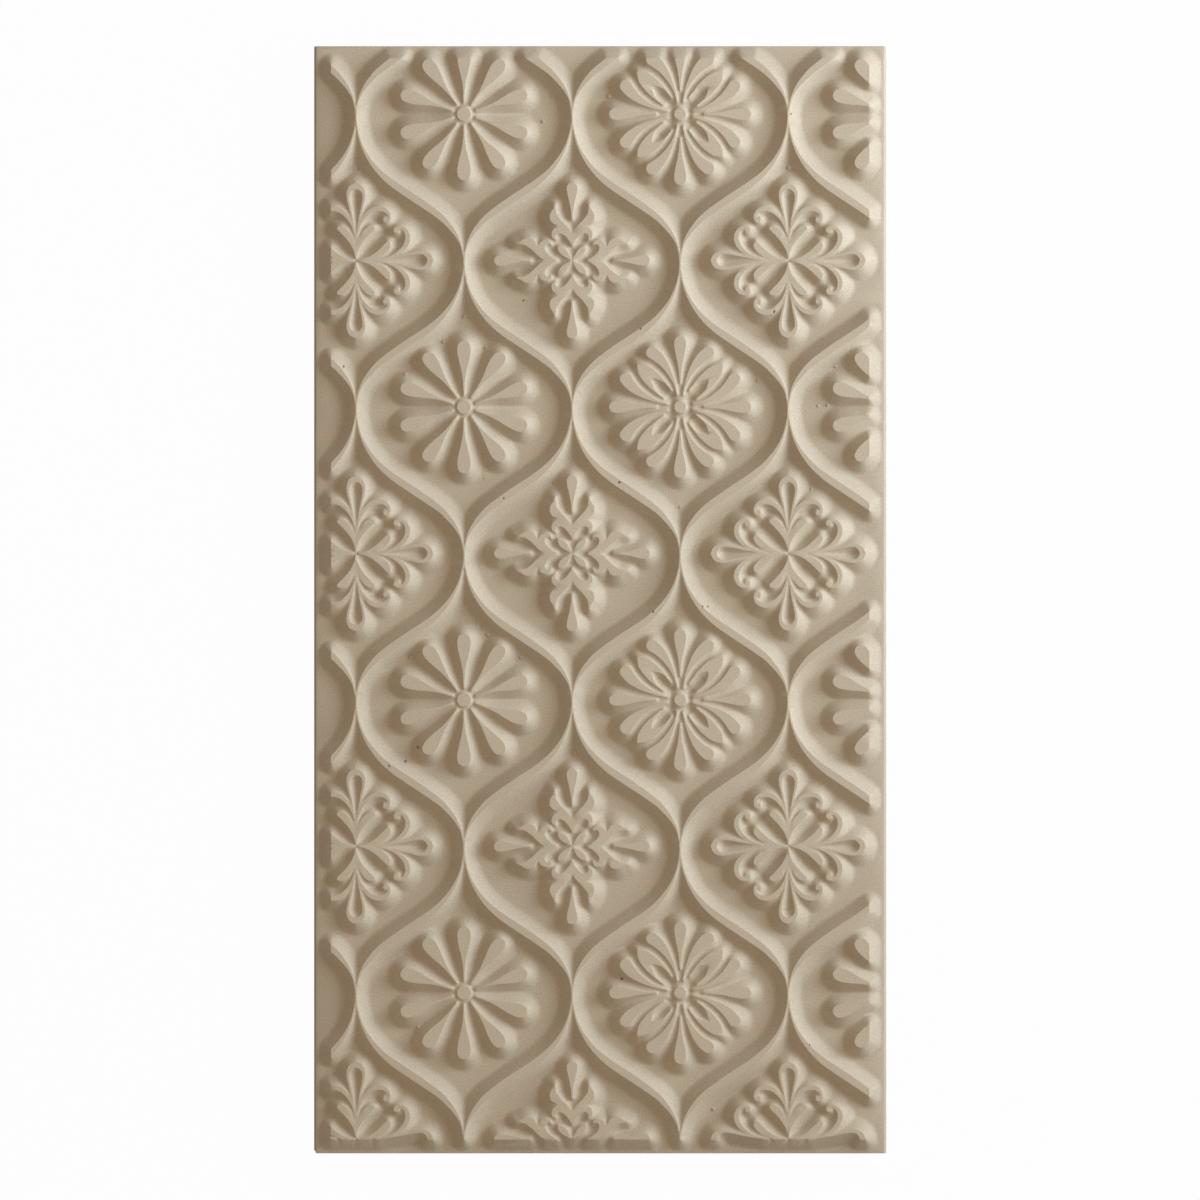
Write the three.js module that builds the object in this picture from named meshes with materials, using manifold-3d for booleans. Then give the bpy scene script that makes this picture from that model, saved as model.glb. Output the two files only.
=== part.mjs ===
// Clay texture tile: one cast block, a flat slab with a raised pattern on its face.
// Wavy ridges cross the tile like a net, and each opening of the net holds an ornament: daisies,
// rosettes, leaf crosses and scroll medallions. Every raised line has a flat crest and sloping walls.
// Millimetres, +Z up. The back lies on z = 0, the pattern faces up, and +Y runs along the long side.
import * as THREE from 'three';
import { mergeVertices } from 'three/addons/utils/BufferGeometryUtils.js';
import Module from 'manifold-3d';

const wasm = await Module();
wasm.setup();
const { Manifold, Mesh: SolidMesh } = wasm;

// Slab: outer size at the back, and how far its sides lean in up to the face
const TILE_WIDTH = 97.9;
const TILE_LENGTH = 189.3;
const SLAB_THICKNESS = 6;
const SIDE_DRAFT = 0.4;
const END_DRAFT = 0.1;

// Relief: height of the crests over the face, spread of a wall from crest to foot, and how deep
// the raised bodies are rooted in the slab
const RELIEF_HEIGHT = 2;
const WALL_RUN = 1.9;
const ROOT_DEPTH = 0.4;

// Plain strip on the face between its edge and the foot of the cut pattern
const SIDE_MARGIN = 0.7;
const TOP_MARGIN = 0.2;
const BOTTOM_MARGIN = 0.5;

// Repeat of the pattern, and where one leaf cross stands from the middle of the tile
const CELL_WIDTH = 36.9;
const CELL_LENGTH = 50;
const PATTERN_SHIFT_X = -4.8;
const PATTERN_SHIFT_Y = 7.9;

// Crest width of a ridge at its widest
const RIDGE_WIDTH = 1;

// Daisy: petals round a disc, from the centre to the petals' tips
const DAISY_REACH = 11.35;
const DAISY_PETALS = 10;
const DAISY_PETAL_START = 2.1;
const DAISY_PETAL_WIDTH = 2.25;
const DAISY_DISC = 2.3;

// Rosette: drops, curved petals and slit leaves round a disc
const ROSETTE_REACH = 11.8;
const ROSETTE_DROP_START = 3.4;
const ROSETTE_DROP_WIDTH = 2;
const ROSETTE_DISC = 2;

// Leaf cross: drops over leaves, with curls and leaflets between them
const CROSS_REACH = 13.3;
const CROSS_DROP_START = 7.2;
const CROSS_DROP_WIDTH = 1.8;

// Scroll medallion: loops, scrolled arms and curved petals
const MEDALLION_REACH = 13.2;

// Facets of a round head and of a disc, the cosine of the turn past which a wall is rounded, and how
// much further out than the wall's run that rounding stands
const HEAD_FACETS = 2;
const DISC_FACETS = 8;
const SHARP_TURN = -0.5;
const TIP_ROUNDING = 1.1;

// A ridge from the point where it meets its neighbour to the next such point: share of half a cell
// across and along, share of the ridge's width
const RIDGE_SWING = [[0, 0, 0], [0.15, 0.245, 1], [0.83, 0.635, 1]];

// Ornament lines in hundredths of the ornament's reach: across, along, half the width of the crest
const ROSETTE_PETAL = [[4.3, 18.8, 0], [19.5, 55.7, 4.5], [40.5, 78.6, 8.5]];
const ROSETTE_LEAF = [[13, 24.6, 0], [38.4, 52.1, 6.4], [61.5, 61.5, 0]];
const CROSS_LEAFLET = [[0, 0, 0], [11.6, 11.6, 3.6]];
const CROSS_LOBE = [[0, 19.3, 0], [20.5, 52, 5.6], [23.8, 69.3, 0]];
const CROSS_CURL = [[5.1, 30.8, 0], [18.6, 39.8, 4.1], [21.8, 25.7, 0]];
const MEDALLION_LOOP = [[0, 28.5, 0], [10.5, 84.1, 1.7], [0, 96.4, 3.6], [-10.5, 84.1, 1.7]];
const MEDALLION_ARM = [[2.6, 41.4, 0], [22, 66, 2.8], [41.1, 62.8, 2.5], [38.8, 51.1, 0]];
const MEDALLION_PETAL = [[0, 0, 0], [9.7, 31.1, 4.4], [25.9, 42.7, 0]];

const faceLevel = SLAB_THICKNESS;
const crestLevel = SLAB_THICKNESS + RELIEF_HEIGHT;
const rootLevel = SLAB_THICKNESS - ROOT_DEPTH;

// A closed body from rings of as many points each, lowest first, seen anticlockwise from above.
// Each wall facet is split along its shorter diagonal, so touching bodies share their facets.
function bodyFromRings(rings) {
  const count = rings[0].length;
  const indices = [];
  for (let level = 0; level + 1 < rings.length; level += 1) {
    for (let i = 0; i < count; i += 1) {
      const next = (i + 1) % count;
      const [low, lowNext, high, highNext] = [
        rings[level][i], rings[level][next], rings[level + 1][i], rings[level + 1][next],
      ];
      const [a, b] = [level * count + i, level * count + next];
      const [c, d] = [a + count, b + count];
      if (low.distanceTo(highNext) <= lowNext.distanceTo(high)) indices.push(a, b, d, a, d, c);
      else indices.push(a, b, c, b, d, c);
    }
  }
  const top = (rings.length - 1) * count;
  for (let i = 1; i + 1 < count; i += 1) {
    indices.push(0, i + 1, i);
    indices.push(top, top + i, top + i + 1);
  }
  const geometry = new THREE.BufferGeometry().setFromPoints(rings.flat());
  geometry.setIndex(indices);
  return geometry;
}

// A solid from a closed geometry; facets that shrink to a line where rings meet in a point are left out
function toSolid(geometry) {
  const merged = mergeVertices(geometry, 1e-6);
  const corners = merged.index.array;
  const triangles = [];
  for (let i = 0; i < corners.length; i += 3) {
    const [a, b, c] = corners.slice(i, i + 3);
    if (a !== b && b !== c && c !== a) triangles.push(a, b, c);
  }
  return new Manifold(new SolidMesh({
    numProp: 3,
    vertProperties: new Float32Array(merged.attributes.position.array),
    triVerts: new Uint32Array(triangles),
  }));
}

function toGeometry(solid) {
  const mesh = solid.getMesh();
  const geometry = new THREE.BufferGeometry();
  geometry.setAttribute('position', new THREE.BufferAttribute(Float32Array.from(mesh.vertProperties), 3));
  geometry.setIndex(new THREE.BufferAttribute(Uint32Array.from(mesh.triVerts), 1));
  return geometry;
}

function joined(solids) {
  return solids.reduce((sum, solid) => sum.add(solid));
}

const atLevel = (point, level) => new THREE.Vector3(point.x, point.y, level);

// Outward direction of an outline's edge, for an outline drawn anticlockwise
function outward(from, to) {
  const along = to.clone().sub(from).normalize();
  return new THREE.Vector2(along.y, -along.x);
}

// Foot points of an outline's corner: those of the edge that ends there and of the edge that starts.
// A blunt corner has one for both, a sharp one is rounded by one more, and an inward one has its own
// for each edge, because the walls there cross.
function cornerFeet(corner, before, after) {
  const own = (direction, share = 1) => corner.clone().addScaledVector(direction, WALL_RUN * share);
  if (before.cross(after) < 0) return { ending: [own(before)], starting: [own(after)] };
  const between = before.clone().add(after);
  const straight = before.dot(after);
  if (straight < SHARP_TURN) {
    const rounding = own(between.normalize(), TIP_ROUNDING);
    return { ending: [own(before), rounding], starting: [rounding, own(after)] };
  }
  const shared = corner.clone().addScaledVector(between, WALL_RUN / (1 + straight));
  return { ending: [shared], starting: [shared] };
}

// The round or pointed end of a line, as corners of its outline from one side to the other
function lineEnd(centre, radius, heading) {
  if (radius === 0) return [centre];
  return Array.from({ length: HEAD_FACETS + 1 }, (_, i) => {
    const angle = heading.angle() + Math.PI * (i / HEAD_FACETS - 0.5);
    return new THREE.Vector2(Math.cos(angle), Math.sin(angle)).multiplyScalar(radius).add(centre);
  });
}

// A raised line of varying width through knots [x, y, half width of the crest]. It is built link by
// link, so that a tight bend's walls may cross. A closed line runs back to its first knot.
function raisedLine({ knots, closed = false }) {
  const count = knots.length;
  const centres = knots.map(([x, y]) => new THREE.Vector2(x, y));
  const wrap = (i) => (i + count) % count;
  const headingOf = (i) => centres[wrap(i + 1)].clone().sub(centres[i]).normalize();
  const headings = centres.map((_, i) => {
    const arriving = closed || i > 0 ? headingOf(wrap(i - 1)) : headingOf(i);
    const leaving = closed || i + 1 < count ? headingOf(i) : arriving;
    return arriving.clone().add(leaving).normalize();
  });
  const sidePoint = (i, side) => {
    const across = new THREE.Vector2(headings[i].y, -headings[i].x);
    return centres[i].clone().addScaledVector(across, side * knots[i][2]);
  };
  const right = centres.map((_, i) => sidePoint(i, 1));
  const left = centres.map((_, i) => sidePoint(i, -1));
  const rightWall = right.map((point, i) => outward(point, right[wrap(i + 1)]));
  const leftWall = left.map((point, i) => outward(left[wrap(i + 1)], point));
  const pairs = (corner, feet) => feet.map((foot) => [corner, foot]);

  // Corners round an end, from the wall that reaches it to the wall that leaves it
  const endPairs = (i, heading, before, after) => {
    const corners = lineEnd(centres[i], knots[i][2], heading);
    const walls = corners.slice(1).map((corner, k) => outward(corners[k], corner));
    return corners.flatMap((corner, k) => {
      const { ending, starting } = cornerFeet(corner, walls[k - 1] ?? before, walls[k] ?? after);
      return pairs(corner, [...new Set([...ending, ...starting])]);
    });
  };

  const link = (i) => {
    const next = wrap(i + 1);
    const previous = wrap(i - 1);
    const isFirst = !closed && i === 0;
    const isLast = !closed && i === count - 2;
    const far = isLast
      ? endPairs(next, headings[next], rightWall[i], leftWall[i])
      : [
        ...pairs(right[next], cornerFeet(right[next], rightWall[i], rightWall[next]).ending),
        ...pairs(left[next], cornerFeet(left[next], leftWall[next], leftWall[i]).starting),
      ];
    const near = isFirst
      ? endPairs(i, headings[i].clone().negate(), leftWall[i], rightWall[i])
      : [
        ...pairs(left[i], cornerFeet(left[i], leftWall[i], leftWall[previous]).ending),
        ...pairs(right[i], cornerFeet(right[i], rightWall[previous], rightWall[i]).starting),
      ];
    const ring = [...far, ...near];
    return toSolid(bodyFromRings([
      ring.map(([, foot]) => atLevel(foot, rootLevel)),
      ring.map(([, foot]) => atLevel(foot, faceLevel)),
      ring.map(([crest]) => atLevel(crest, crestLevel)),
    ]));
  };
  return joined(Array.from({ length: closed ? count : count - 1 }, (_, i) => link(i)));
}

function raisedDisc(diameter, x, y) {
  const ring = (radius, level) => Array.from({ length: DISC_FACETS }, (_, i) => {
    const angle = ((i + 0.5) * 2 * Math.PI) / DISC_FACETS;
    return new THREE.Vector3(x + radius * Math.cos(angle), y + radius * Math.sin(angle), level);
  });
  const footRadius = diameter / 2 + WALL_RUN / Math.cos(Math.PI / DISC_FACETS);
  return toSolid(bodyFromRings([
    ring(footRadius, rootLevel),
    ring(footRadius, faceLevel),
    ring(diameter / 2, crestLevel),
  ]));
}

// The lines of an ornament are drawn round its own middle, in real sizes
const scaled = (knots, reach) => knots.map((knot) => knot.map((share) => (share * reach) / 100));
const mirrored = (knots) => knots.map(([x, y, half]) => [-x, y, half]);
const swapped = (knots) => knots.map(([x, y, half]) => [y, x, half]);
const onBothSides = (knots) => [{ knots }, { knots: mirrored(knots) }];

// A straight petal or drop along +Y, from a point to a round head
const drop = (start, reach, width) => ({ knots: [[0, start, 0], [0, reach - width / 2, width / 2]] });

function turnedCopies(lines, count) {
  const turned = (knots, angle) => knots.map(([x, y, half]) => {
    const point = new THREE.Vector2(x, y).rotateAround(new THREE.Vector2(), angle);
    return [point.x, point.y, half];
  });
  return Array.from({ length: count }, (_, i) => (i * 2 * Math.PI) / count).flatMap((angle) => (
    lines.map(({ knots, closed }) => ({ knots: turned(knots, angle), closed }))
  ));
}

const petal = drop(DAISY_PETAL_START, DAISY_REACH, DAISY_PETAL_WIDTH);

const daisy = {
  reach: DAISY_REACH,
  disc: DAISY_DISC,
  lines: turnedCopies([petal], DAISY_PETALS),
};

const leafSide = scaled(ROSETTE_LEAF, ROSETTE_REACH);

const rosette = {
  reach: ROSETTE_REACH,
  disc: ROSETTE_DISC,
  lines: turnedCopies([
    drop(ROSETTE_DROP_START, ROSETTE_REACH, ROSETTE_DROP_WIDTH),
    ...onBothSides(scaled(ROSETTE_PETAL, ROSETTE_REACH)),
    { knots: [...leafSide, ...swapped(leafSide).reverse().slice(1)] },
  ], 4),
};

const lobe = scaled(CROSS_LOBE, CROSS_REACH);

const leafCross = {
  reach: CROSS_REACH,
  lines: turnedCopies([
    drop(CROSS_DROP_START, CROSS_REACH, CROSS_DROP_WIDTH),
    { knots: scaled(CROSS_LEAFLET, CROSS_REACH) },
    { knots: [...mirrored(lobe).reverse(), ...lobe.slice(1)] },
    ...onBothSides(scaled(CROSS_CURL, CROSS_REACH)),
  ], 4),
};

const scrollMedallion = {
  reach: MEDALLION_REACH,
  lines: turnedCopies([
    { knots: scaled(MEDALLION_LOOP, MEDALLION_REACH), closed: true },
    ...onBothSides(scaled(MEDALLION_ARM, MEDALLION_REACH)),
    ...onBothSides(scaled(MEDALLION_PETAL, MEDALLION_REACH)),
  ], 4),
};

function raisedOrnament({ lines, disc }, x, y) {
  const placed = (knots) => knots.map(([across, along, half]) => [x + across, y + along, half]);
  const solids = lines.map(({ knots, closed }) => raisedLine({ knots: placed(knots), closed }));
  if (disc) solids.push(raisedDisc(disc, x, y));
  return joined(solids);
}

// Edges of the pattern's field at the foot of its cut walls
const field = {
  left: SIDE_DRAFT + SIDE_MARGIN - TILE_WIDTH / 2,
  right: TILE_WIDTH / 2 - SIDE_DRAFT - SIDE_MARGIN,
  bottom: END_DRAFT + BOTTOM_MARGIN - TILE_LENGTH / 2,
  top: TILE_LENGTH / 2 - END_DRAFT - TOP_MARGIN,
};

function rectangle({ left, right, bottom, top }, inset, level) {
  return [
    new THREE.Vector3(left + inset, bottom + inset, level),
    new THREE.Vector3(right - inset, bottom + inset, level),
    new THREE.Vector3(right - inset, top - inset, level),
    new THREE.Vector3(left + inset, top - inset, level),
  ];
}

// The room that the pattern may fill: straight up to the face, then leaning in like every wall
function patternField() {
  return toSolid(bodyFromRings([
    rectangle(field, 0, rootLevel),
    rectangle(field, 0, faceLevel),
    rectangle(field, WALL_RUN, crestLevel),
  ]));
}

function slab() {
  const ring = (sideDraft, endDraft, level) => rectangle({
    left: sideDraft - TILE_WIDTH / 2,
    right: TILE_WIDTH / 2 - sideDraft,
    bottom: endDraft - TILE_LENGTH / 2,
    top: TILE_LENGTH / 2 - endDraft,
  }, 0, level);
  return toSolid(bodyFromRings([ring(0, 0, 0), ring(SIDE_DRAFT, END_DRAFT, faceLevel)]));
}

// Columns stand half a cell apart, and so do rows. An ornament stands wherever column and row are
// both even or both odd, and its kind goes by the column.
const columnX = (column) => PATTERN_SHIFT_X + (column * CELL_WIDTH) / 2;
const rowY = (row) => PATTERN_SHIFT_Y + (row * CELL_LENGTH) / 2;
const isEven = (number) => number % 2 === 0;

function wholeNumbers(from, to) {
  const first = Math.floor(from);
  return Array.from({ length: Math.ceil(to) - first + 1 }, (_, i) => first + i);
}

// Columns and rows whose lines lie on the field or within a margin round it
function columnsWithin(margin) {
  return wholeNumbers(
    (2 * (field.left - margin - PATTERN_SHIFT_X)) / CELL_WIDTH,
    (2 * (field.right + margin - PATTERN_SHIFT_X)) / CELL_WIDTH,
  );
}

function rowsWithin(margin) {
  return wholeNumbers(
    (2 * (field.bottom - margin - PATTERN_SHIFT_Y)) / CELL_LENGTH,
    (2 * (field.top + margin - PATTERN_SHIFT_Y)) / CELL_LENGTH,
  );
}

function ornaments() {
  const kinds = [leafCross, rosette, scrollMedallion, daisy];
  const widest = Math.max(...kinds.map(({ reach }) => reach));
  const solids = [];
  for (const column of columnsWithin(widest)) {
    const kind = kinds[((column % kinds.length) + kinds.length) % kinds.length];
    const spread = kind.reach + WALL_RUN;
    for (const row of rowsWithin(widest)) {
      const [x, y] = [columnX(column), rowY(row)];
      const shows = x + spread > field.left && x - spread < field.right
        && y + spread > field.bottom && y - spread < field.top;
      if (isEven(column + row) && shows) solids.push(raisedOrnament(kind, x, y));
    }
  }
  return solids;
}

// One ridge swings from column to column all along the tile, and touches its neighbours at each swing
function ridge(column) {
  const knots = [];
  for (const row of rowsWithin(WALL_RUN)) {
    const swingsRight = !isEven(column + row);
    for (const [across, along, share] of RIDGE_SWING) {
      knots.push([
        columnX(column + (swingsRight ? across : 1 - across)),
        rowY(row + along),
        (share * RIDGE_WIDTH) / 2,
      ]);
    }
  }
  return raisedLine({ knots });
}

function textureTile() {
  const ridges = columnsWithin(WALL_RUN).slice(0, -1).map(ridge);
  const pattern = joined([...ornaments(), ...ridges]).intersect(patternField());
  return toGeometry(slab().add(pattern));
}

const castResin = new THREE.MeshStandardMaterial({ color: 0xb5a690, roughness: 0.85, metalness: 0 });

const tile = new THREE.Mesh(textureTile(), castResin);
tile.name = 'texture_tile';

const object = new THREE.Group();
object.add(tile);
export default object;
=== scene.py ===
"""Clay texture tile: the cast block with its raised floral lattice, and the stage it is shown on.

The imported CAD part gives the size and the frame. The face is worked out here as a height over a fine
grid, from the outlines of the raised crests, so that the walls, feet and valleys have their cast form.
Lengths are in millimetres inside the drawing functions, and in metres once they reach Blender.
"""
import math

import bpy
import numpy as np
from mathutils import Euler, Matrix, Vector


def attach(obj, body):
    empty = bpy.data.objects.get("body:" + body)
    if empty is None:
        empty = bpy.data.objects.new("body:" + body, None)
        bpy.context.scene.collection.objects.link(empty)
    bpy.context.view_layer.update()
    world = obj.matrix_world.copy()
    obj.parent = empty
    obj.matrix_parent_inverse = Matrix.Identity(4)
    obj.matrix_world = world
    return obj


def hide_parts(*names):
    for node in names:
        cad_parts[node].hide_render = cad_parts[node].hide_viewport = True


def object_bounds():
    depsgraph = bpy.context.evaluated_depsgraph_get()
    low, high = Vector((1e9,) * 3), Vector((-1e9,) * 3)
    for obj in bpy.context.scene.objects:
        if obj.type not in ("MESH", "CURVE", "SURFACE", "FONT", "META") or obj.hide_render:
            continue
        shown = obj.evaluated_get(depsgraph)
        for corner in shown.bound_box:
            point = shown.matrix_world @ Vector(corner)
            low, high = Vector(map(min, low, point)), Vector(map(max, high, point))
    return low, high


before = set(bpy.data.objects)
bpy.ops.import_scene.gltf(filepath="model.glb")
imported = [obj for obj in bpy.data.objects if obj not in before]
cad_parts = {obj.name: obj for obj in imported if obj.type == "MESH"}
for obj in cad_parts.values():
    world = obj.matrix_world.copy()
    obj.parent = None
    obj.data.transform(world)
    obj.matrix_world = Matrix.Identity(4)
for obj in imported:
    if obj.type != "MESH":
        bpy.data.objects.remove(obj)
CAD_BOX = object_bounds()

bl_info = {
    "name": "Clay texture tile",
    "version": (1, 0, 0),
    "blender": (4, 5, 0),
    "location": "View3D > Sidebar > Tile",
    "description": "Builds a cast clay texture tile with a raised floral lattice, and its stage",
    "category": "Object",
}

MM = 0.001
TILE_NODE = "texture_tile"

# Slab of the CAD part, in millimetres
TILE_WIDTH = (CAD_BOX[1][0] - CAD_BOX[0][0]) / MM
TILE_LENGTH = (CAD_BOX[1][1] - CAD_BOX[0][1]) / MM
TILE_HEIGHT = (CAD_BOX[1][2] - CAD_BOX[0][2]) / MM
RELIEF_HEIGHT = 2
RELIEF_FOOT = TILE_HEIGHT - RELIEF_HEIGHT
SIDE_DRAFT = 0.4
END_DRAFT = 0.1

# Edges of the crests where the pattern is cut off, from the middle of the tile
CUT_LEFT = -45.95
CUT_RIGHT = 45.95
CUT_BOTTOM = -92.15
CUT_TOP = 92.45

# Half a repeat of the pattern, and where one leaf cross stands
COLUMN_STEP = 18.45
ROW_STEP = 25.0
CROSS_X = -4.8
CROSS_Y = 7.9

# Columns and rows that can reach the face, and how far an ornament's crests reach from its middle
COLUMNS = range(-5, 7)
ROWS = range(-6, 6)
ORNAMENT_REACH = 14.0

# The ornaments are drawn in units of this many millimetres, round their own middle, with +y up
DRAWN_UNIT = 0.1708

# Each line below is a row of knots: across, along, half the width of the crest
PETAL = [
    (0, 12.5, 0.5), (0, 22, 0.7), (0, 30, 1.4), (0, 38, 2.9), (0, 46, 4.9), (0, 52.5, 6.2),
    (0, 57, 6.7), (0, 60, 6.3),
]
DAISY_DISC = 6.8
DAISY_PETALS = 10

ROSETTE_DISC = 5.8
ROSETTE_DROP = [
    (0, 24, 0.5), (0, 33, 1), (0, 42, 2.1), (0, 50, 3.8), (0, 57, 5.2), (0, 63, 5.9), (0, 65.3, 5.6),
]
ROSETTE_PETAL = [
    (3, 13, 0.4), (5.2, 22, 0.9), (8.4, 30, 1.7), (12.4, 37.6, 2.9), (17.2, 44.6, 4.2),
    (22.5, 50.2, 5.3), (28, 54.3, 5.9),
]
# Half the outline of a slit leaf on the diagonal: across, along
ROSETTE_LEAF_OUTSIDE = [(42.3, 43), (33, 41.3), (23, 34.2), (14, 24.3), (8.8, 16.6)]
ROSETTE_LEAF_SLIT = [(8.8, 16.6), (12, 20.6), (18.5, 26.3), (29.3, 29.3)]

CROSS_DROP = [(0, 42, 0.4), (0, 50, 1.1), (0, 60, 2.9), (0, 68, 4.8), (0, 72.5, 5.3)]
CROSS_LEAFLET = [(1.2, 1.2, 0.5), (4.5, 4.5, 1.9), (8.2, 8.2, 3.2), (10.8, 11.2, 2.6), (13.3, 13.8, 0.5)]
CROSS_LOBE = [
    (0, 16, 0.5), (1.4, 22, 2), (4.4, 28.6, 3), (8.4, 33.6, 2.9), (13.2, 38, 3.1), (17.4, 41.6, 4.4),
    (18.8, 46.2, 3.1), (17.8, 50.5, 1.5), (17.1, 55, 0.4),
]
CROSS_CURL = [
    (0, 16, 0.5), (1.7, 21, 1.6), (5.6, 26.8, 2.5), (11, 30.2, 3), (15.8, 29.6, 3), (18.2, 26.4, 2.3),
    (18.2, 23.4, 1.5), (16.5, 21.2, 0.5),
]

MEDALLION_LOOP = [
    (0, 74.6, 2.8), (4.6, 72.6, 2.5), (7.6, 67.8, 1.6), (7.9, 62, 1.2), (6.6, 55, 1), (4.9, 47.5, 0.9),
    (3.2, 39, 0.7), (1.6, 30, 0.5), (0.3, 22, 0.4),
]
MEDALLION_ARM = [
    (0.2, 20, 0.4), (2.4, 31, 0.7), (5.4, 38.5, 1.1), (9.6, 44.8, 1.7), (15, 49.6, 2.2), (21.5, 51.8, 2.4),
    (27.5, 51, 2.1), (31.8, 47.7, 1.6), (33.1, 43.4, 1.4), (31.8, 39.9, 1.6), (29.3, 39.8, 1.7),
    (28.9, 41.8, 1.4),
]
MEDALLION_PETAL = [
    (0, 2.5, 0.3), (0.8, 9, 1), (2.6, 15.5, 2), (6, 22, 2.9), (10.4, 27.8, 3.5), (14.2, 31.2, 3.2),
    (17, 32.2, 1.9),
]

# A ridge from the point where it meets its neighbour to the next such point
RIDGE = [
    (0.1, -8, 0.35), (0.5, 3, 0.4), (2.4, 13.8, 0.65), (5.4, 21.1, 1.1), (9.6, 28.1, 1.75),
    (15, 34.9, 2.4), (22.8, 43.1, 2.9), (36, 53, 3.4), (53, 64.5, 3.6), (69, 75.2, 3.4),
    (80.6, 84.6, 2.8), (89.2, 93.8, 2.15), (96.2, 103.6, 1.5), (101.7, 114.4, 0.95),
    (105.2, 125, 0.65), (107.2, 136, 0.45), (107.9, 147, 0.35),
]

# Beads that air bubbles in the mould left on the casting: across, along, radius
BEADS = [
    (-19.7, 20.8, 0.2), (-8.0, 19.9, 0.2), (-26.8, 44.0, 0.3), (-19.6, 43.1, 0.25), (-33.3, 38.6, 0.3),
    (-3.4, 35.5, 0.2), (26.9, 37.4, 0.3), (40.2, 39.8, 0.25), (41.5, 40.0, 0.2), (37.2, 33.1, 0.25),
    (38.8, 33.2, 0.25), (36.0, 18.9, 0.25), (13.6, 15.8, 0.2), (-9.8, 81.7, 0.3), (-8.3, 86.0, 0.25),
    (32.2, 73.8, 0.4), (1.5, 86.0, 0.35), (-15.6, -38.9, 0.25), (-20.0, -4.9, 0.25), (-19.2, -6.0, 0.3),
    (-13.6, -9.9, 0.25), (-32.5, -9.8, 0.3), (-4.5, -26.1, 0.3), (41.9, -60.6, 0.25), (19.3, -87.0, 0.3),
    (-19.2, -55.9, 0.25), (-31.1, -73.0, 0.25), (-23.3, 48.3, 0.3), (-41.1, 73.4, 0.25), (-46.0, -91.8, 0.2),
]
# Pits where a bubble in the resin broke open: across, along, radius
PITS = [
    (-43.9, 39.8, 0.2), (-16.5, 17.3, 0.17), (29.6, 49.1, 0.22), (6.8, 46.3, 0.17), (32.5, 82.9, 0.16),
    (3.2, 20.0, 0.2), (9.0, -2.1, 0.17), (18.3, -1.2, 0.17), (17.4, -1.2, 0.16), (-31.1, -25.2, 0.22),
    (-33.3, -27.6, 0.2), (-36.1, -28.4, 0.16), (3.7, -64.7, 0.22), (35.7, -76.0, 0.16), (-13.1, 51.1, 0.17),
]
# Rise of a bead and depth of a pit in the middle, as shares of the mark's radius
BEAD_RISE = 1.0
PIT_DEPTH = 2.5
# How much of the lower left corner is knocked off, along both edges together
CORNER_CHIP = 0.5

# Side of the ground, and how far it lies under the tile's back, so that the two don't coincide
GROUND_SIDE = 6000
GROUND_GAP = 0.1

# How far from a crest its wall can still shape the face, and points worked out between two knots
WALL_REACH = 3.4
POINTS_PER_SPAN = 4

# Spacing at which the cut is searched for crests that run into it
CUT_STEP = 0.03
# Halfway round the slab's rounded edge: way out and way down, as shares of the rounding
HALFWAY_OUT = 0.7
HALFWAY_DOWN = 0.3
# Edges that turn by more than this many degrees stay sharp
SHARP_TURN = 30

# Sizes in the resin: clouds of tint, and the mould's grain with its depth
CLOUD_SIZE = 12
GRAIN_SIZE = 0.25
GRAIN_DEPTH = 0.06
# How much lighter or darker a grain can be, and the range that most of a noise's values lie in
SPECKLE = 0.12
NOISE_LOW = 0.3
NOISE_HIGH = 0.7

# Where the soft box stands, in degrees: up from the ground, and from the tile's right to its top
KEY_ELEVATION = 24
KEY_BEARING = 20

# Camera: place in millimetres, turn in radians, focal length and sensor in millimetres
CAMERA_PLACE = (0.75, -9.6, 3000)
CAMERA_TURN = (0.00319, 0.00026, 0.0)
CAMERA_LENS = 525.88
CAMERA_SENSOR = 36
# How far the camera sees, more than the way to the far corners of the ground
CAMERA_SIGHT = 20000


def linear_from_hex(code):
    """A linear colour from sRGB hex digits: the sRGB curve undone for each channel."""
    shares = [int(code[i:i + 2], 16) / 255 for i in (0, 2, 4)]
    return tuple(c / 12.92 if c <= 0.04045 else ((c + 0.055) / 1.055) ** 2.4 for c in shares)


def smooth_line(knots):
    """A Catmull-Rom curve through the knots: each span is the cubic that passes its two knots with the
    slope of the line between their neighbours. Across, along and half width are carried together."""
    points = np.array(knots, float)
    before = 2 * points[:1] - points[1:2]
    after = 2 * points[-1:] - points[-2:-1]
    around = np.vstack([before, points, after])
    share = np.linspace(0, 1, POINTS_PER_SPAN, endpoint=False)[:, None]
    spans = []
    for p0, p1, p2, p3 in zip(around, around[1:], around[2:], around[3:]):
        bend = (2 * p0 - 5 * p1 + 4 * p2 - p3) * share ** 2 + (3 * p1 - p0 - 3 * p2 + p3) * share ** 3
        spans.append(p1 + 0.5 * ((p2 - p0) * share + bend))
    return np.vstack(spans + [points[-1:]])


def turned(points, quarter_turns=0.0, mirrored=False):
    """Points turned anticlockwise round the middle by quarters of a circle, after a mirroring across
    the y axis where asked. Columns after the first two stay as they are."""
    placed = points.copy()
    if mirrored:
        placed[:, 0] = -placed[:, 0]
    angle = quarter_turns * math.pi / 2
    x = placed[:, 0] * math.cos(angle) - placed[:, 1] * math.sin(angle)
    y = placed[:, 0] * math.sin(angle) + placed[:, 1] * math.cos(angle)
    placed[:, 0] = x
    placed[:, 1] = y
    return placed


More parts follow.
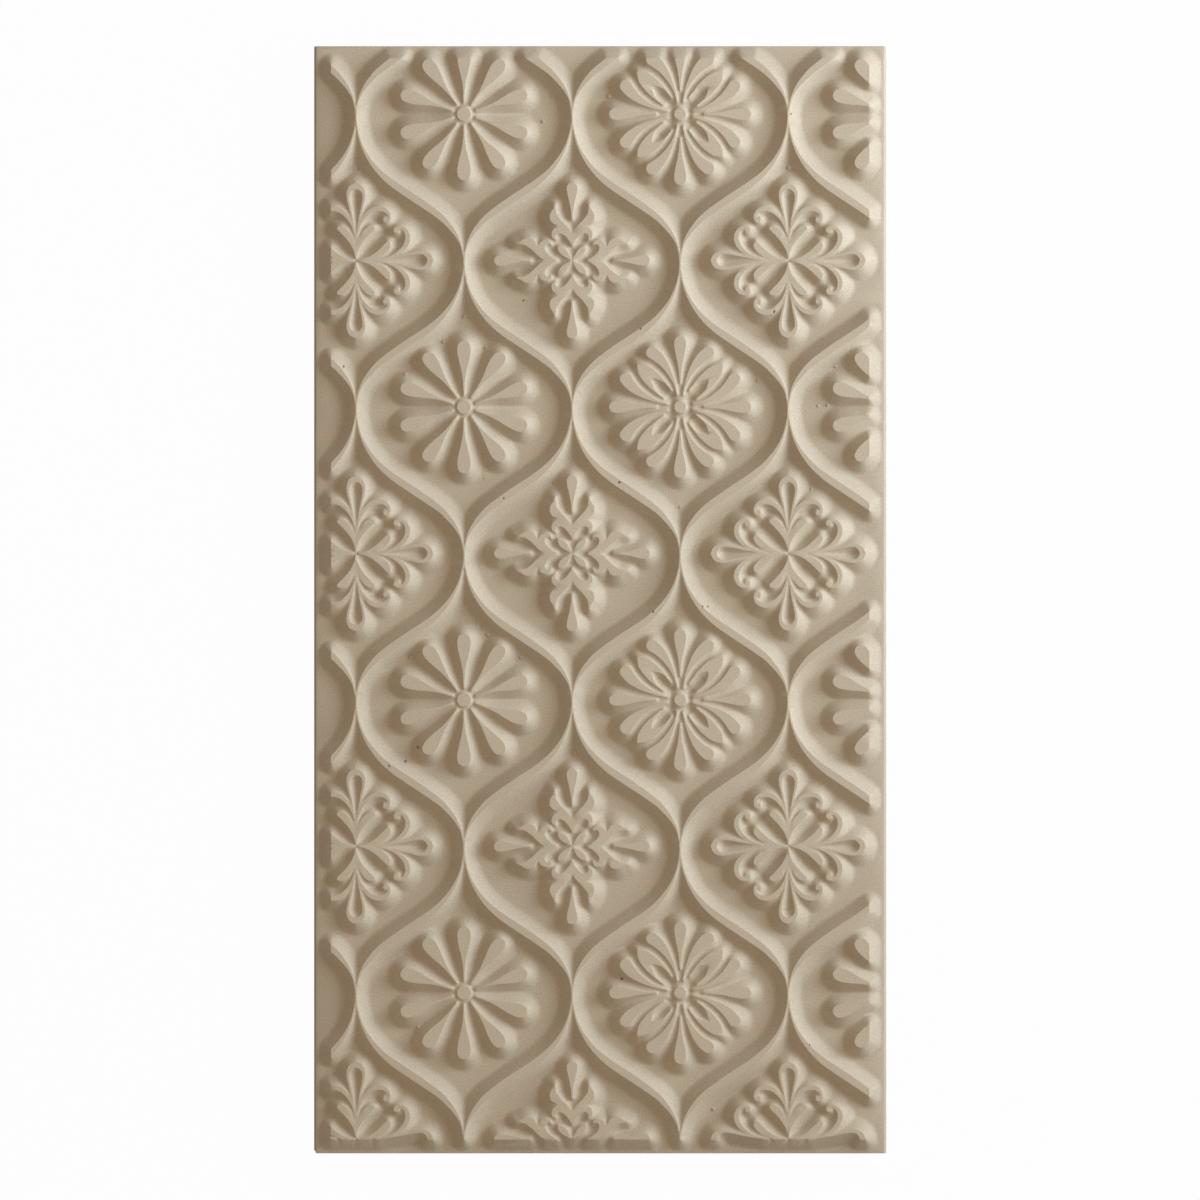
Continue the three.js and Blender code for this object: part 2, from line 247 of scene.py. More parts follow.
def four_ways(knots, both_sides=True):
    """Four copies of a smooth line by quarter turns, each with its mirror image where asked."""
    line = smooth_line(knots) * DRAWN_UNIT
    copies = [turned(line, turn) for turn in range(4)]
    if both_sides:
        copies += [turned(line, turn, mirrored=True) for turn in range(4)]
    return copies


def disc(radius):
    """A round crest as a line with no length."""
    return np.array([[0, 0, radius], [0, 0, radius]], float) * DRAWN_UNIT


def daisy():
    petal = smooth_line(PETAL) * DRAWN_UNIT
    petals = [turned(petal, 4 * i / DAISY_PETALS) for i in range(DAISY_PETALS)]
    return {"lines": petals + [disc(DAISY_DISC)], "leaves": []}


def rosette():
    outside = smooth_line([(x, y, 0) for x, y in ROSETTE_LEAF_OUTSIDE])[:, :2] * DRAWN_UNIT
    slit = smooth_line([(x, y, 0) for x, y in ROSETTE_LEAF_SLIT])[1:, :2] * DRAWN_UNIT
    half = np.vstack([outside, slit])
    leaf = np.vstack([half, half[::-1, ::-1][1:]])
    lines = four_ways(ROSETTE_DROP, both_sides=False) + four_ways(ROSETTE_PETAL) + [disc(ROSETTE_DISC)]
    return {"lines": lines, "leaves": [turned(leaf, turn) for turn in range(4)]}


def leaf_cross():
    single = four_ways(CROSS_DROP, both_sides=False) + four_ways(CROSS_LEAFLET, both_sides=False)
    return {"lines": single + four_ways(CROSS_LOBE) + four_ways(CROSS_CURL), "leaves": []}


def scroll_medallion():
    lines = four_ways(MEDALLION_LOOP) + four_ways(MEDALLION_ARM) + four_ways(MEDALLION_PETAL)
    return {"lines": lines, "leaves": []}


def is_near_face(x, y, reach):
    """Whether anything within reach of a point can fall on the cut pattern."""
    return CUT_LEFT - reach < x < CUT_RIGHT + reach and CUT_BOTTOM - reach < y < CUT_TOP + reach


def whole_pattern():
    """Every crest of the face. Columns stand half a repeat apart, and so do rows. An ornament stands
    where column and row are both even or both odd, and its kind goes by the column. Ridges run from
    each other place to the two that lie diagonally above it."""
    kinds = [leaf_cross(), rosette(), scroll_medallion(), daisy()]
    upward = smooth_line(RIDGE) * DRAWN_UNIT
    upward[:, 0] *= COLUMN_STEP / (RIDGE[-1][0] * DRAWN_UNIT)
    lines = []
    leaves = []
    for column in COLUMNS:
        for row in ROWS:
            place = np.array([CROSS_X + column * COLUMN_STEP, CROSS_Y + row * ROW_STEP])
            if (column + row) % 2:
                if is_near_face(*place, COLUMN_STEP + ROW_STEP):
                    lines += [upward + [*place, 0], turned(upward, mirrored=True) + [*place, 0]]
            elif is_near_face(*place, ORNAMENT_REACH):
                kind = kinds[column % len(kinds)]
                lines += [line + [*place, 0] for line in kind["lines"]]
                leaves += [leaf + place for leaf in kind["leaves"]]
    return lines, leaves


def from_link(x, y, start, end):
    """Distance from points to a tapered link with round ends, and its outward direction. Beside the
    link it is the distance to the slanted side, and past an end the distance to that end's circle."""
    length = math.hypot(end[0] - start[0], end[1] - start[1])
    if length < 1e-9 or abs(start[2] - end[2]) >= length:
        big = start if start[2] >= end[2] else end
        distance = np.hypot(x - big[0], y - big[1])
        safe = np.maximum(distance, 1e-9)
        return distance - big[2], (x - big[0]) / safe, (y - big[1]) / safe
    ux, uy = (end[0] - start[0]) / length, (end[1] - start[1]) / length
    along = (x - start[0]) * ux + (y - start[1]) * uy
    beside = (x - start[0]) * uy - (y - start[1]) * ux
    side = np.where(beside < 0, -1.0, 1.0)
    beside = np.abs(beside)
    lean = (start[2] - end[2]) / length
    upright = math.sqrt(1 - lean * lean)
    reach = along * upright - beside * lean
    at_start = reach < 0
    at_end = reach > upright * length
    from_start = np.maximum(np.hypot(along, beside), 1e-9)
    from_end = np.maximum(np.hypot(along - length, beside), 1e-9)
    distance = beside * upright + along * lean - start[2]
    distance = np.where(at_start, from_start - start[2], distance)
    distance = np.where(at_end, from_end - end[2], distance)
    out_along = np.where(at_start, along / from_start, np.where(at_end, (along - length) / from_end, lean))
    out_beside = np.where(at_start, beside / from_start, np.where(at_end, beside / from_end, upright))
    out_beside = out_beside * side
    return distance, out_along * ux + out_beside * uy, out_along * uy - out_beside * ux


def from_outline(x, y, outline):
    """Distance from points to a closed outline, negative inside it, and its outward direction. A point
    is inside when a ray from it crosses the outline an odd number of times."""
    nearest = np.full(np.broadcast(x, y).shape, 1e9)
    nearest_x = np.zeros_like(nearest)
    nearest_y = np.zeros_like(nearest)
    inside = np.zeros(nearest.shape, bool)
    for (ax, ay), (bx, by) in zip(outline, np.roll(outline, -1, axis=0)):
        ex, ey = bx - ax, by - ay
        share = np.clip(((x - ax) * ex + (y - ay) * ey) / (ex * ex + ey * ey + 1e-18), 0, 1)
        dx, dy = x - (ax + share * ex), y - (ay + share * ey)
        distance = np.hypot(dx, dy)
        closer = distance < nearest
        nearest = np.where(closer, distance, nearest)
        nearest_x = np.where(closer, dx, nearest_x)
        nearest_y = np.where(closer, dy, nearest_y)
        if ay != by:
            crosses = ((ay > y) != (by > y)) & (x < ex * (y - ay) / (by - ay) + ax)
            inside ^= crosses
    sign = np.where(inside, -1.0, 1.0)
    safe = np.maximum(nearest, 1e-9)
    return sign * nearest, sign * nearest_x / safe, sign * nearest_y / safe


class CrestMap:
    """The distance from every point of a grid to the nearest crest, and the direction away from it."""

    def __init__(self, xs, ys):
        self.xs = xs
        self.ys = ys
        self.distance = np.full((len(ys), len(xs)), WALL_REACH)
        self.out_x = np.zeros_like(self.distance)
        self.out_y = np.zeros_like(self.distance)

    def add(self, low, high, measure, is_cut):
        """Takes in one crest that lies between two corners. Where the pattern is cut, a point counts
        only if the nearest place on the crest is inside the cut, or the point itself is in both."""
        i0, i1 = np.searchsorted(self.xs, [low[0] - WALL_REACH, high[0] + WALL_REACH])
        j0, j1 = np.searchsorted(self.ys, [low[1] - WALL_REACH, high[1] + WALL_REACH])
        if i0 == i1 or j0 == j1:
            return
        x = self.xs[None, i0:i1]
        y = self.ys[j0:j1, None]
        distance, out_x, out_y = measure(x, y)
        if is_cut:
            near_x = np.where(distance > 0, x - distance * out_x, x)
            near_y = np.where(distance > 0, y - distance * out_y, y)
            kept = (near_x >= CUT_LEFT) & (near_x <= CUT_RIGHT) & (near_y >= CUT_BOTTOM) & (near_y <= CUT_TOP)
            distance = np.where(kept, distance, WALL_REACH)
        block = (slice(j0, j1), slice(i0, i1))
        closer = distance < self.distance[block]
        self.distance[block] = np.where(closer, distance, self.distance[block])
        self.out_x[block] = np.where(closer, out_x, self.out_x[block])
        self.out_y[block] = np.where(closer, out_y, self.out_y[block])

    def add_pattern(self, lines, leaves, is_cut):
        for line in lines:
            for start, end in zip(line, line[1:]):
                widest = max(start[2], end[2])
                low = np.minimum(start, end)[:2] - widest
                high = np.maximum(start, end)[:2] + widest
                self.add(low, high, lambda x, y, a=start, b=end: from_link(x, y, a, b), is_cut)
        for leaf in leaves:
            self.add(leaf.min(0), leaf.max(0), lambda x, y, shape=leaf: from_outline(x, y, shape), is_cut)

    def add_cut_edges(self, lines, leaves):
        """Adds the stretches of the cut where crests run into it, as links with no width, so the walls
        beyond the cut fall away from them."""
        for x in (CUT_LEFT, CUT_RIGHT):
            ys = np.arange(CUT_BOTTOM, CUT_TOP, CUT_STEP)
            edge = CrestMap(np.array([x]), ys)
            edge.add_pattern(lines, leaves, False)
            for first, last in stretches(edge.distance[:, 0] <= 0):
                self.add_edge(np.array([x, ys[first], 0.0]), np.array([x, ys[last], 0.0]))
        for y in (CUT_BOTTOM, CUT_TOP):
            xs = np.arange(CUT_LEFT, CUT_RIGHT, CUT_STEP)
            edge = CrestMap(xs, np.array([y]))
            edge.add_pattern(lines, leaves, False)
            for first, last in stretches(edge.distance[0] <= 0):
                self.add_edge(np.array([xs[first], y, 0.0]), np.array([xs[last], y, 0.0]))

    def add_edge(self, start, end):
        low, high = np.minimum(start, end)[:2], np.maximum(start, end)[:2]
        self.add(low, high, lambda x, y: from_link(x, y, start, end), False)

    def trim_to_cut(self):
        """Inside a crest that is cut, the cut is an edge of the crest too."""
        x = self.xs[None, :]
        y = self.ys[:, None]
        for beyond, out_x, out_y in (
            (CUT_LEFT - x, -1.0, 0.0), (x - CUT_RIGHT, 1.0, 0.0),
            (CUT_BOTTOM - y, 0.0, -1.0), (y - CUT_TOP, 0.0, 1.0),
        ):
            past = (beyond > self.distance) & (self.distance < WALL_REACH)
            self.distance = np.where(past, beyond, self.distance)
            self.out_x = np.where(past, out_x, self.out_x)
            self.out_y = np.where(past, out_y, self.out_y)


def stretches(flags):
    """First and last index of each run of true flags."""
    edges = np.flatnonzero(np.diff(np.concatenate([[0], flags.astype(np.int8), [0]])))
    return [(first, last - 1) for first, last in edges.reshape(-1, 2)]


def blurred(heights, spread_x, spread_y):
    """Heights averaged with a bell curve along both directions; spreads are in grid steps."""
    result = heights
    for axis, spread in ((1, spread_x), (0, spread_y)):
        reach = int(math.ceil(3 * spread))
        shares = np.exp(-0.5 * (np.arange(-reach, reach + 1) / spread) ** 2)
        shares /= shares.sum()
        padding = [(0, 0), (0, 0)]
        padding[axis] = (reach, reach)
        padded = np.pad(result, padding, mode="edge")
        size = result.shape[axis]
        summed = np.zeros_like(result)
        for k, share in enumerate(shares):
            window = [slice(None), slice(None)]
            window[axis] = slice(k, k + size)
            summed += share * padded[tuple(window)]
        result = summed
    return result


def snapped_to_crests(crests, xs, ys):
    """Grid points moved onto the crests' outlines. Of two neighbours on either side of an outline, the
    one closer to it slides onto it, so the crest's edge runs through points of the mesh."""
    distance = crests.distance
    inside = distance < 0
    moves = np.zeros(distance.shape, bool)
    for here, there in (
        ((slice(None), slice(0, -1)), (slice(None), slice(1, None))),
        ((slice(0, -1), slice(None)), (slice(1, None), slice(None))),
    ):
        crosses = inside[here] != inside[there]
        mine = np.abs(distance[here]) <= np.abs(distance[there])
        moves[here] |= crosses & mine
        moves[there] |= crosses & ~mine
    moves[:, (0, -1)] = False
    moves[(0, -1), :] = False
    x = np.broadcast_to(xs[None, :], distance.shape) - np.where(moves, distance * crests.out_x, 0)
    y = np.broadcast_to(ys[:, None], distance.shape) - np.where(moves, distance * crests.out_y, 0)
    return x, y, np.where(moves, 0.0, distance)


def face_triangles(side):
    """Two triangles for each square of the grid, seen anticlockwise from above. A square is split so
    that no diagonal crosses a crest's edge; side is -1 inside, 0 on the edge and 1 outside."""
    rows, columns = side.shape
    index = np.arange(rows * columns).reshape(rows, columns)
    a, b = index[:-1, :-1], index[:-1, 1:]
    c, d = index[1:, :-1], index[1:, 1:]
    rising_crosses = (side[:-1, :-1] * side[1:, 1:]) < 0
    on_falling = (side[:-1, 1:] == 0) & (side[1:, :-1] == 0)
    falling = (rising_crosses | on_falling)[..., None]
    first = np.where(falling, np.stack([a, b, c], -1), np.stack([a, b, d], -1))
    second = np.where(falling, np.stack([b, d, c], -1), np.stack([a, d, c], -1))
    return np.concatenate([first.reshape(-1, 3), second.reshape(-1, 3)])


def rim_loop(rows, columns):
    """Indices of a grid's outermost points, anticlockwise from above."""
    index = np.arange(rows * columns).reshape(rows, columns)
    return np.concatenate([index[0, :-1], index[:-1, -1], index[-1, :0:-1], index[:0:-1, 0]])


def mesh_from(name, points, triangles):
    """A mesh from arrays of points in millimetres and of triangles."""
    mesh = bpy.data.meshes.new(name)
    mesh.vertices.add(len(points))
    mesh.vertices.foreach_set("co", (points * MM).astype(np.float32).ravel())
    mesh.loops.add(triangles.size)
    mesh.loops.foreach_set("vertex_index", triangles.astype(np.int32).ravel())
    mesh.polygons.add(len(triangles))
    mesh.polygons.foreach_set("loop_start", np.arange(0, triangles.size, 3, dtype=np.int32))
    mesh.update(calc_edges=True)
    mesh.validate()
    return mesh


def with_casting_marks(x, y, height):
    """Heights with a dome added at each bead, and a deep round hollow taken out at each pit: the change
    is the height of a half ball of the mark's radius, times a share."""
    marked = height
    for marks, share in ((BEADS, BEAD_RISE), (PITS, -PIT_DEPTH)):
        for across, along, radius in marks:
            away = np.hypot(x - across, y - along)
            marked = marked + share * np.sqrt(np.clip(radius ** 2 - away ** 2, 0, None))
    return marked


def with_chip(points):
    """Points with the lower left corner knocked off: what lies beyond a slanted line, where the ways to
    the two edges add up to the chip's size, slides straight back onto it."""
    beyond = CORNER_CHIP - (points[:, 0] + TILE_WIDTH / 2) - (points[:, 1] + TILE_LENGTH / 2)
    chipped = points.copy()
    chipped[:, :2] += np.clip(beyond, 0, None)[:, None] / 2
    return chipped


def tile_surface(sizes):
    """The whole closed surface of the tile. The face's height is the relief's, less the share of the
    wall's run that lies between the point and the nearest crest; valleys and feet are then filled by
    the blurred heights wherever those are higher. Below the rim the sides lean out to the back."""
    step = sizes.grid_step / MM
    relief = sizes.relief_height / MM
    run = sizes.wall_run / MM
    softness = sizes.foot_softness / MM
    rounding = sizes.edge_rounding / MM
    face_level = TILE_HEIGHT - relief
    half_width = TILE_WIDTH / 2 - SIDE_DRAFT - rounding
    half_length = TILE_LENGTH / 2 - END_DRAFT - rounding
    xs = np.linspace(-half_width, half_width, int(round(2 * half_width / step)) + 1)
    ys = np.linspace(-half_length, half_length, int(round(2 * half_length / step)) + 1)

    lines, leaves = whole_pattern()
    crests = CrestMap(xs, ys)
    crests.add_pattern(lines, leaves, True)
    crests.add_cut_edges(lines, leaves)
    crests.trim_to_cut()

    def wall_height(distance):
        return relief * np.clip(1 - distance / run, 0, 1)

    soft = blurred(wall_height(crests.distance), softness / (xs[1] - xs[0]), softness / (ys[1] - ys[0]))
    x, y, distance = snapped_to_crests(crests, xs, ys)
    height = with_casting_marks(x, y, np.maximum(wall_height(distance), soft))
    side = np.sign(distance).astype(int)

    face = np.stack([x, y, face_level + height], -1).reshape(-1, 3)
    triangles = [face_triangles(side)]
    rim = rim_loop(*distance.shape)
    points = [face]
    halfway = HALFWAY_OUT * rounding
    rings = [
        (half_width + halfway, half_length + halfway, face_level - HALFWAY_DOWN * rounding),
        (half_width + rounding, half_length + rounding, face_level - rounding),
        (TILE_WIDTH / 2, TILE_LENGTH / 2, rounding),
        (TILE_WIDTH / 2, TILE_LENGTH / 2, 0.0),
    ]
    previous = rim
    count = len(face)
    for ring_width, ring_length, level in rings:
        ring = face[rim].copy()
        ring[:, 0] *= ring_width / half_width
        ring[:, 1] *= ring_length / half_length
        ring[:, 2] = level
        points.append(ring)
        current = count + np.arange(len(rim))
        count += len(rim)
        after, below = np.roll(previous, -1), np.roll(current, -1)
        triangles.append(np.stack([previous, current, below], -1))
        triangles.append(np.stack([previous, below, after], -1))
        previous = current
    points.append(np.array([[0.0, 0.0, 0.0]]))
    middle = np.full(len(rim), count)
    triangles.append(np.stack([middle, np.roll(previous, -1), previous], -1))
    return with_chip(np.concatenate(points)), np.concatenate(triangles)


def thinned(tile, triangle_limit):
    """Collapses the edges that shape the surface least, until the tile is within its limit."""
    present = len(tile.data.polygons)
    if present > triangle_limit:
        thinning = tile.modifiers.new("thinning", "DECIMATE")
        thinning.decimate_type = "COLLAPSE"
        thinning.ratio = triangle_limit / present
        thinning.use_collapse_triangulate = True
        with bpy.context.temp_override(object=tile, active_object=tile, selected_objects=[tile]):
            bpy.ops.object.modifier_apply(modifier=thinning.name)


def kept_in_box(mesh):
    """Moves the points that the thinning or a bead pushed past the CAD part's box back onto its sides."""
    points = np.empty(3 * len(mesh.vertices), np.float32)
    mesh.vertices.foreach_get("co", points)
    inside = np.clip(points.reshape(-1, 3), CAD_BOX[0], CAD_BOX[1])
    mesh.vertices.foreach_set("co", inside.astype(np.float32).ravel())
    mesh.update()


def add_node(tree, kind, links=(), **settings):
    """Adds a node, sets its properties and inputs by name, and links its inputs to other sockets."""
    node = tree.nodes.new(kind)
    for name, value in settings.items():
        if hasattr(node, name):
            setattr(node, name, value)
        else:
            node.inputs[name.replace("_", " ")].default_value = value
    for name, socket in dict(links).items():
        tree.links.new(socket, node.inputs[name])
    return node


def cast_resin(colours):
    """Cast polyurethane resin, unpolished: the tint runs through it, and the surface takes the fine
    grain of its mould. It gives the eye a matt, chalky tan with no clear highlight. Shade is painted
    into the hollows: the colour is made a shade darker there, from the crests down to the face."""
    material = bpy.data.materials.new("cast_polyurethane_resin")
    material.use_nodes = True
    tree = material.node_tree
    tree.nodes.clear()
    place = add_node(tree, "ShaderNodeTexCoord").outputs["Object"]
    # Clouds of tint, as mixing the filler leaves them
    clouds = add_node(
        tree, "ShaderNodeTexNoise", {"Vector": place}, Scale=1 / (CLOUD_SIZE * MM), Detail=3.0,
    )
    # Grain of the mould, drawn coarser than a real grain is, so that it shows
    grain = add_node(
        tree, "ShaderNodeTexNoise", {"Vector": place}, Scale=1 / (GRAIN_SIZE * MM), Detail=2.0,
    )
    tint = add_node(tree, "ShaderNodeValToRGB", {"Fac": clouds.outputs["Fac"]})
    tint.color_ramp.elements[0].position = NOISE_LOW
    tint.color_ramp.elements[0].color = (*colours.resin_shade, 1)
    tint.color_ramp.elements[1].position = NOISE_HIGH
    tint.color_ramp.elements[1].color = (*colours.resin_light, 1)
    # Painted shade in the hollows: crests keep the full tint, and it falls by the painted shade's share down
    # to the face
    height = add_node(tree, "ShaderNodeSeparateXYZ", {"Vector": place}).outputs["Z"]
    painted_shade = add_node(
        tree, "ShaderNodeMapRange", {"Value": height},
        From_Min=RELIEF_FOOT * MM, From_Max=TILE_HEIGHT * MM, To_Min=colours.painted_shade_share, To_Max=1.0,
    )
    # Each grain is a little lighter or darker than its neighbours
    speckle = add_node(
        tree, "ShaderNodeMapRange", {"Value": grain.outputs["Fac"]},
        From_Min=NOISE_LOW, From_Max=NOISE_HIGH, To_Min=1 - SPECKLE, To_Max=1 + SPECKLE,
    )
    shares = {0: painted_shade.outputs["Result"], 1: speckle.outputs["Result"]}
    share = add_node(tree, "ShaderNodeMath", shares, operation="MULTIPLY")
    shown = add_node(
        tree, "ShaderNodeHueSaturation", {"Color": tint.outputs["Color"], "Value": share.outputs[0]},
    )
    bump = add_node(
        tree, "ShaderNodeBump", {"Height": grain.outputs["Fac"]},
        Strength=0.8, Distance=GRAIN_DEPTH * MM,
    )
    shader = add_node(
        tree, "ShaderNodeBsdfPrincipled",
        {"Base Color": shown.outputs["Color"], "Normal": bump.outputs["Normal"]},
        Roughness=0.82, IOR=1.5,
    )
    add_node(tree, "ShaderNodeOutputMaterial", {"Surface": shader.outputs["BSDF"]})
    return material


def studio_ground(strength):
    """Matt studio card. It throws back about a third of the light, so the tile's outer walls stay
    dim. The camera sees it lit from itself for the most part, so it stays white round the tile and
    still keeps a trace of the tile's shadow."""
    material = bpy.data.materials.new("studio_card")
    material.use_nodes = True
    tree = material.node_tree
    tree.nodes.clear()
    path = add_node(tree, "ShaderNodeLightPath")
    card = add_node(tree, "ShaderNodeBsdfDiffuse", Color=(*linear_from_hex("a0a0a0"), 1))
    glow = add_node(tree, "ShaderNodeEmission", Color=(1, 1, 1, 1), Strength=1.0)
    seen = add_node(
        tree, "ShaderNodeMath", {0: path.outputs["Is Camera Ray"], 1: path.outputs["Is Glossy Ray"]},
        operation="MAXIMUM",
    )
    share = add_node(tree, "ShaderNodeMath", {0: seen.outputs[0]}, operation="MULTIPLY")
    share.inputs[1].default_value = strength
    mixed = add_node(
        tree, "ShaderNodeMixShader",
        {"Fac": share.outputs[0], 1: card.outputs["BSDF"], 2: glow.outputs["Emission"]},
    )
    add_node(tree, "ShaderNodeOutputMaterial", {"Surface": mixed.outputs["Shader"]})
    return material


def white_surround(overhead, horizon, strength):
    """A world that lights warmly from overhead and less from the horizon, and looks white to the
    camera. The light between the two goes by the upward part of its direction."""
    world = bpy.data.worlds.new("studio_surround")
    bpy.context.scene.world = world
    world.use_nodes = True
    tree = world.node_tree
    tree.nodes.clear()
    path = add_node(tree, "ShaderNodeLightPath")
    direction = add_node(tree, "ShaderNodeTexCoord").outputs["Generated"]
    upward = add_node(tree, "ShaderNodeSeparateXYZ", {"Vector": direction})
    room = add_node(tree, "ShaderNodeValToRGB", {"Fac": upward.outputs["Z"]})
    room.color_ramp.elements[0].color = (*horizon, 1)
    room.color_ramp.elements[1].color = (*overhead, 1)
    fill = add_node(tree, "ShaderNodeBackground", {"Color": room.outputs["Color"]}, Strength=strength)
    white = add_node(tree, "ShaderNodeBackground", Color=(1, 1, 1, 1), Strength=1.0)
    mixed = add_node(
        tree, "ShaderNodeMixShader",
        {"Fac": path.outputs["Is Camera Ray"], 1: fill.outputs[0], 2: white.outputs[0]},
    )
    add_node(tree, "ShaderNodeOutputWorld", {"Surface": mixed.outputs["Shader"]})


class TileSizes(bpy.types.PropertyGroup):
    relief_height: bpy.props.FloatProperty(
        name="Relief height", description="Height of the crests over the face",
        default=RELIEF_HEIGHT * MM, min=0.5 * MM, max=4 * MM, unit="LENGTH",
    )
    wall_run: bpy.props.FloatProperty(
        name="Wall run", description="Spread of a wall from its crest to its foot, seen from above",
        default=2 * MM, min=0.5 * MM, max=3 * MM, unit="LENGTH",
    )
    foot_softness: bpy.props.FloatProperty(
        name="Foot softness", description="How far the hollows at feet and in valleys are rounded",
        default=0.28 * MM, min=0.05 * MM, max=1 * MM, unit="LENGTH",
    )
    edge_rounding: bpy.props.FloatProperty(
        name="Edge rounding", description="Radius of the slab's upper and lower edges",
        default=0.15 * MM, min=0.01 * MM, max=1 * MM, unit="LENGTH",
    )
    grid_step: bpy.props.FloatProperty(
        name="Grid step", description="Spacing of the points at which the face is worked out",
        default=0.155 * MM, min=0.1 * MM, max=1 * MM, unit="LENGTH",
    )
    triangle_limit: bpy.props.IntProperty(
        name="Triangle limit", description="Most triangles that the tile may keep",
        default=195000, min=20000, max=199000,
    )


class TileColours(bpy.types.PropertyGroup):
    resin_light: bpy.props.FloatVectorProperty(
        name="Resin, light", description="Lighter tint of the cast resin",
        default=linear_from_hex("b8a993"), size=3, min=0, max=1, subtype="COLOR",
    )
    resin_shade: bpy.props.FloatVectorProperty(
        name="Resin, shade", description="Darker tint of the cast resin",
        default=linear_from_hex("b2a38d"), size=3, min=0, max=1, subtype="COLOR",
    )
    # Painted shade: the share of the crests' brightness that the hollows keep, darkened to stand in for the
    # shade that falls there
    painted_shade_share: bpy.props.FloatProperty(
        name="Hollow share", description="Brightness of the hollows as a share of that of the crests",
        default=0.94, min=0.5, max=1, subtype="FACTOR",
    )


class StageSettings(bpy.types.PropertyGroup):
    key_power: bpy.props.FloatProperty(
        name="Key light", description="Power of the soft box at the right",
        default=11.07, min=0, max=100, unit="POWER",
    )
    key_size: bpy.props.FloatProperty(
        name="Key size", description="Diameter of the soft box",
        default=600 * MM, min=50 * MM, max=2000 * MM, unit="LENGTH",
    )
    key_distance: bpy.props.FloatProperty(
        name="Key distance", description="From the middle of the tile to the soft box",
        default=700 * MM, min=300 * MM, max=5000 * MM, unit="LENGTH",
    )
    key_aim: bpy.props.FloatProperty(
        name="Key aim", description="How far beyond the middle of the tile the soft box is turned",
        default=650 * MM, min=-1000 * MM, max=1000 * MM, unit="LENGTH",
    )
    key_colour: bpy.props.FloatVectorProperty(
        name="Key colour", description="Colour of the soft box, that of daylight",
        default=linear_from_hex("e0f0ff"), size=3, min=0, max=1, subtype="COLOR",
    )
    fill_strength: bpy.props.FloatProperty(
        name="Fill light", description="Strength of the light of the room",
        default=0.705, min=0, max=5,
    )
    overhead_colour: bpy.props.FloatVectorProperty(
        name="Overhead colour", description="Colour of the room's light from overhead",
        default=linear_from_hex("ffe8ca"), size=3, min=0, max=1, subtype="COLOR",
    )
    horizon_colour: bpy.props.FloatVectorProperty(
        name="Horizon colour", description="Colour of the room's light from the sides, which is dimmer",
        default=linear_from_hex("9ca6b0"), size=3, min=0, max=1, subtype="COLOR",
    )
    ground_glow: bpy.props.FloatProperty(
        name="Ground glow", description="Share of the ground's white that doesn't depend on the light",
        default=0.98, min=0, max=1, subtype="FACTOR",
    )


class TILE_OT_cast_tile(bpy.types.Operator):
    """Build the cast tile with its raised pattern"""

    bl_idname = "tile.cast_tile"
    bl_label = "Cast the tile"

    def execute(self, context):
        sizes = context.scene.tile_sizes
        points, triangles = tile_surface(sizes)
        mesh = mesh_from("cast_tile", points, triangles)
        tile = bpy.data.objects.new("cast_tile", mesh)
        context.scene.collection.objects.link(tile)
        thinned(tile, sizes.triangle_limit)
        kept_in_box(tile.data)
        tile.data.shade_smooth()
        tile.data.set_sharp_from_angle(angle=math.radians(SHARP_TURN))
        tile.data.materials.append(cast_resin(context.scene.tile_colours))
        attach(tile, "root")
        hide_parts(TILE_NODE)
        return {"FINISHED"}


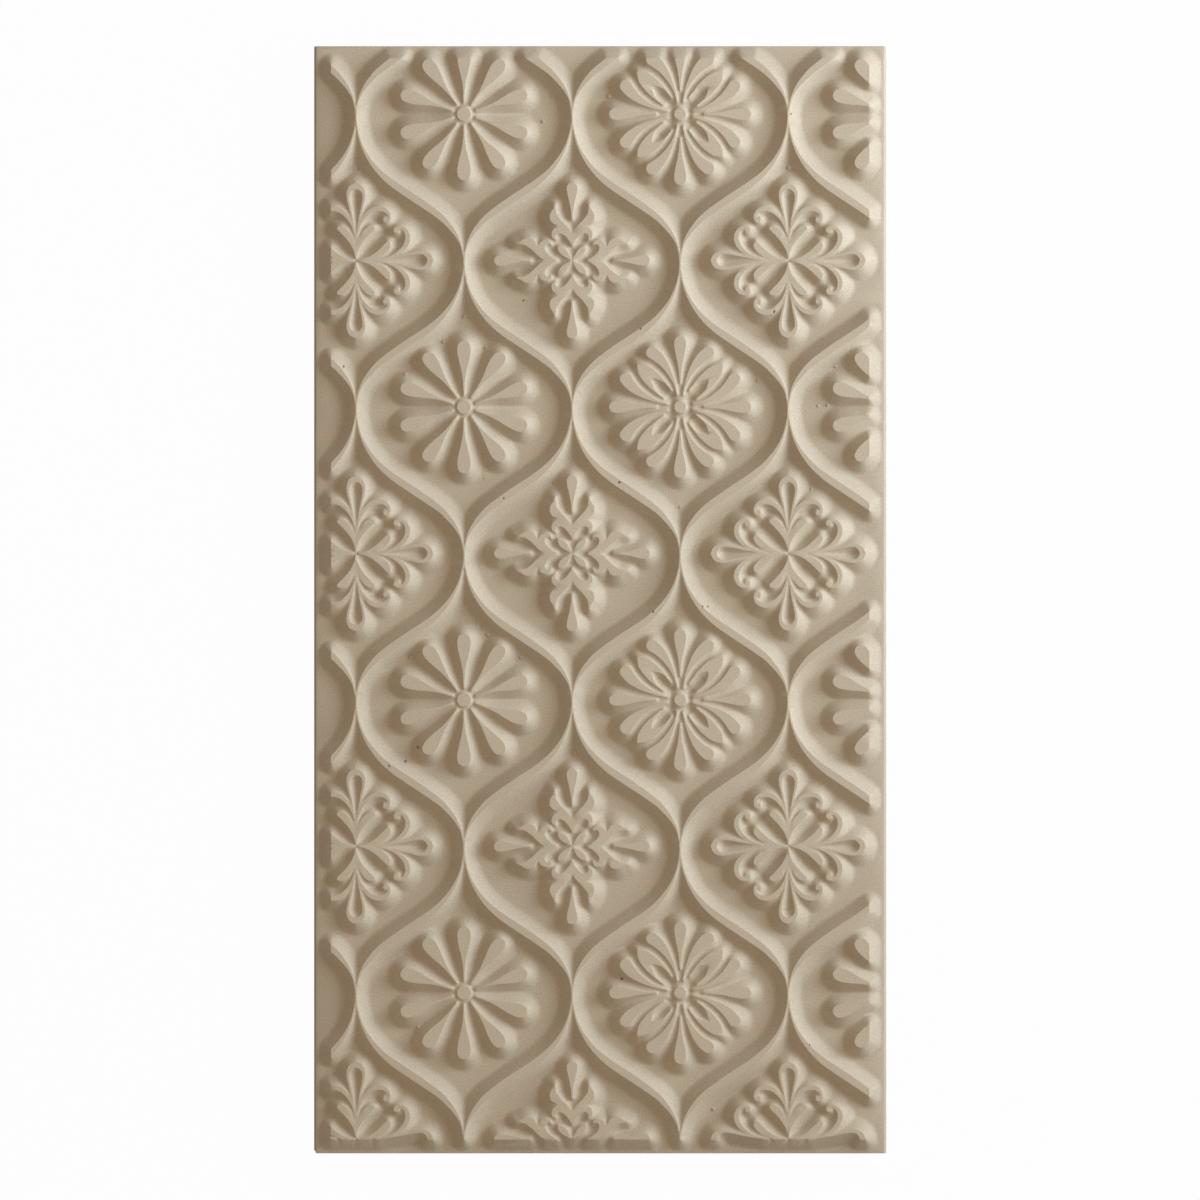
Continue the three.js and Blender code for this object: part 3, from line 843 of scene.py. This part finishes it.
class TILE_OT_set_stage(bpy.types.Operator):
    """Set the white ground, the lights and the camera over the tile"""

    bl_idname = "tile.set_stage"
    bl_label = "Set the stage"

    def execute(self, context):
        scene = context.scene
        settings = scene.tile_stage
        scene.view_settings.view_transform = "Standard"

        bpy.ops.mesh.primitive_plane_add(size=GROUND_SIDE * MM, location=(0, 0, -GROUND_GAP * MM))
        ground = context.object
        ground.name = "ground"
        ground.data.materials.append(studio_ground(settings.ground_glow))
        white_surround(settings.overhead_colour, settings.horizon_colour, settings.fill_strength)

        # A round soft box low at the right, so near that the light fades towards the lower left
        key = bpy.data.lights.new("key_light", "AREA")
        key.shape = "DISK"
        key.size = settings.key_size
        key.energy = settings.key_power
        key.color = settings.key_colour
        lamp = bpy.data.objects.new("key_light", key)
        elevation, bearing = math.radians(KEY_ELEVATION), math.radians(KEY_BEARING)
        toward = Vector((
            math.cos(elevation) * math.cos(bearing),
            math.cos(elevation) * math.sin(bearing),
            math.sin(elevation),
        ))
        lamp.location = toward * settings.key_distance
        aim = Vector((0.0, settings.key_aim, 0.0))
        lamp.rotation_euler = (lamp.location - aim).to_track_quat("Z", "Y").to_euler()
        lamp.visible_camera = False
        scene.collection.objects.link(lamp)

        # The camera stands far back, a little below the middle, and tips up to face the tile
        camera_data = bpy.data.cameras.new("camera")
        camera_data.sensor_width = CAMERA_SENSOR
        camera_data.lens = CAMERA_LENS
        camera_data.clip_end = CAMERA_SIGHT * MM
        camera = bpy.data.objects.new("camera", camera_data)
        camera.location = Vector(CAMERA_PLACE) * MM
        camera.rotation_euler = Euler(CAMERA_TURN)
        scene.collection.objects.link(camera)
        scene.camera = camera
        return {"FINISHED"}


class TILE_PT_panel(bpy.types.Panel):
    bl_label = "Clay texture tile"
    bl_idname = "TILE_PT_panel"
    bl_space_type = "VIEW_3D"
    bl_region_type = "UI"
    bl_category = "Tile"

    def draw(self, context):
        scene = context.scene
        for group in (scene.tile_sizes, scene.tile_colours, scene.tile_stage):
            box = self.layout.box()
            for name in group.bl_rna.properties.keys():
                if name not in ("rna_type", "name"):
                    box.prop(group, name)
        self.layout.operator(TILE_OT_cast_tile.bl_idname)
        self.layout.operator(TILE_OT_set_stage.bl_idname)


CLASSES = (TileSizes, TileColours, StageSettings, TILE_OT_cast_tile, TILE_OT_set_stage, TILE_PT_panel)
GROUPS = {"tile_sizes": TileSizes, "tile_colours": TileColours, "tile_stage": StageSettings}


def register():
    for kind in CLASSES:
        bpy.utils.register_class(kind)
    for name, kind in GROUPS.items():
        setattr(bpy.types.Scene, name, bpy.props.PointerProperty(type=kind))


def unregister():
    for name in GROUPS:
        delattr(bpy.types.Scene, name)
    for kind in reversed(CLASSES):
        bpy.utils.unregister_class(kind)


def main():
    register()
    bpy.ops.tile.cast_tile()
    bpy.ops.tile.set_stage()


if __name__ == "__main__":
    main()
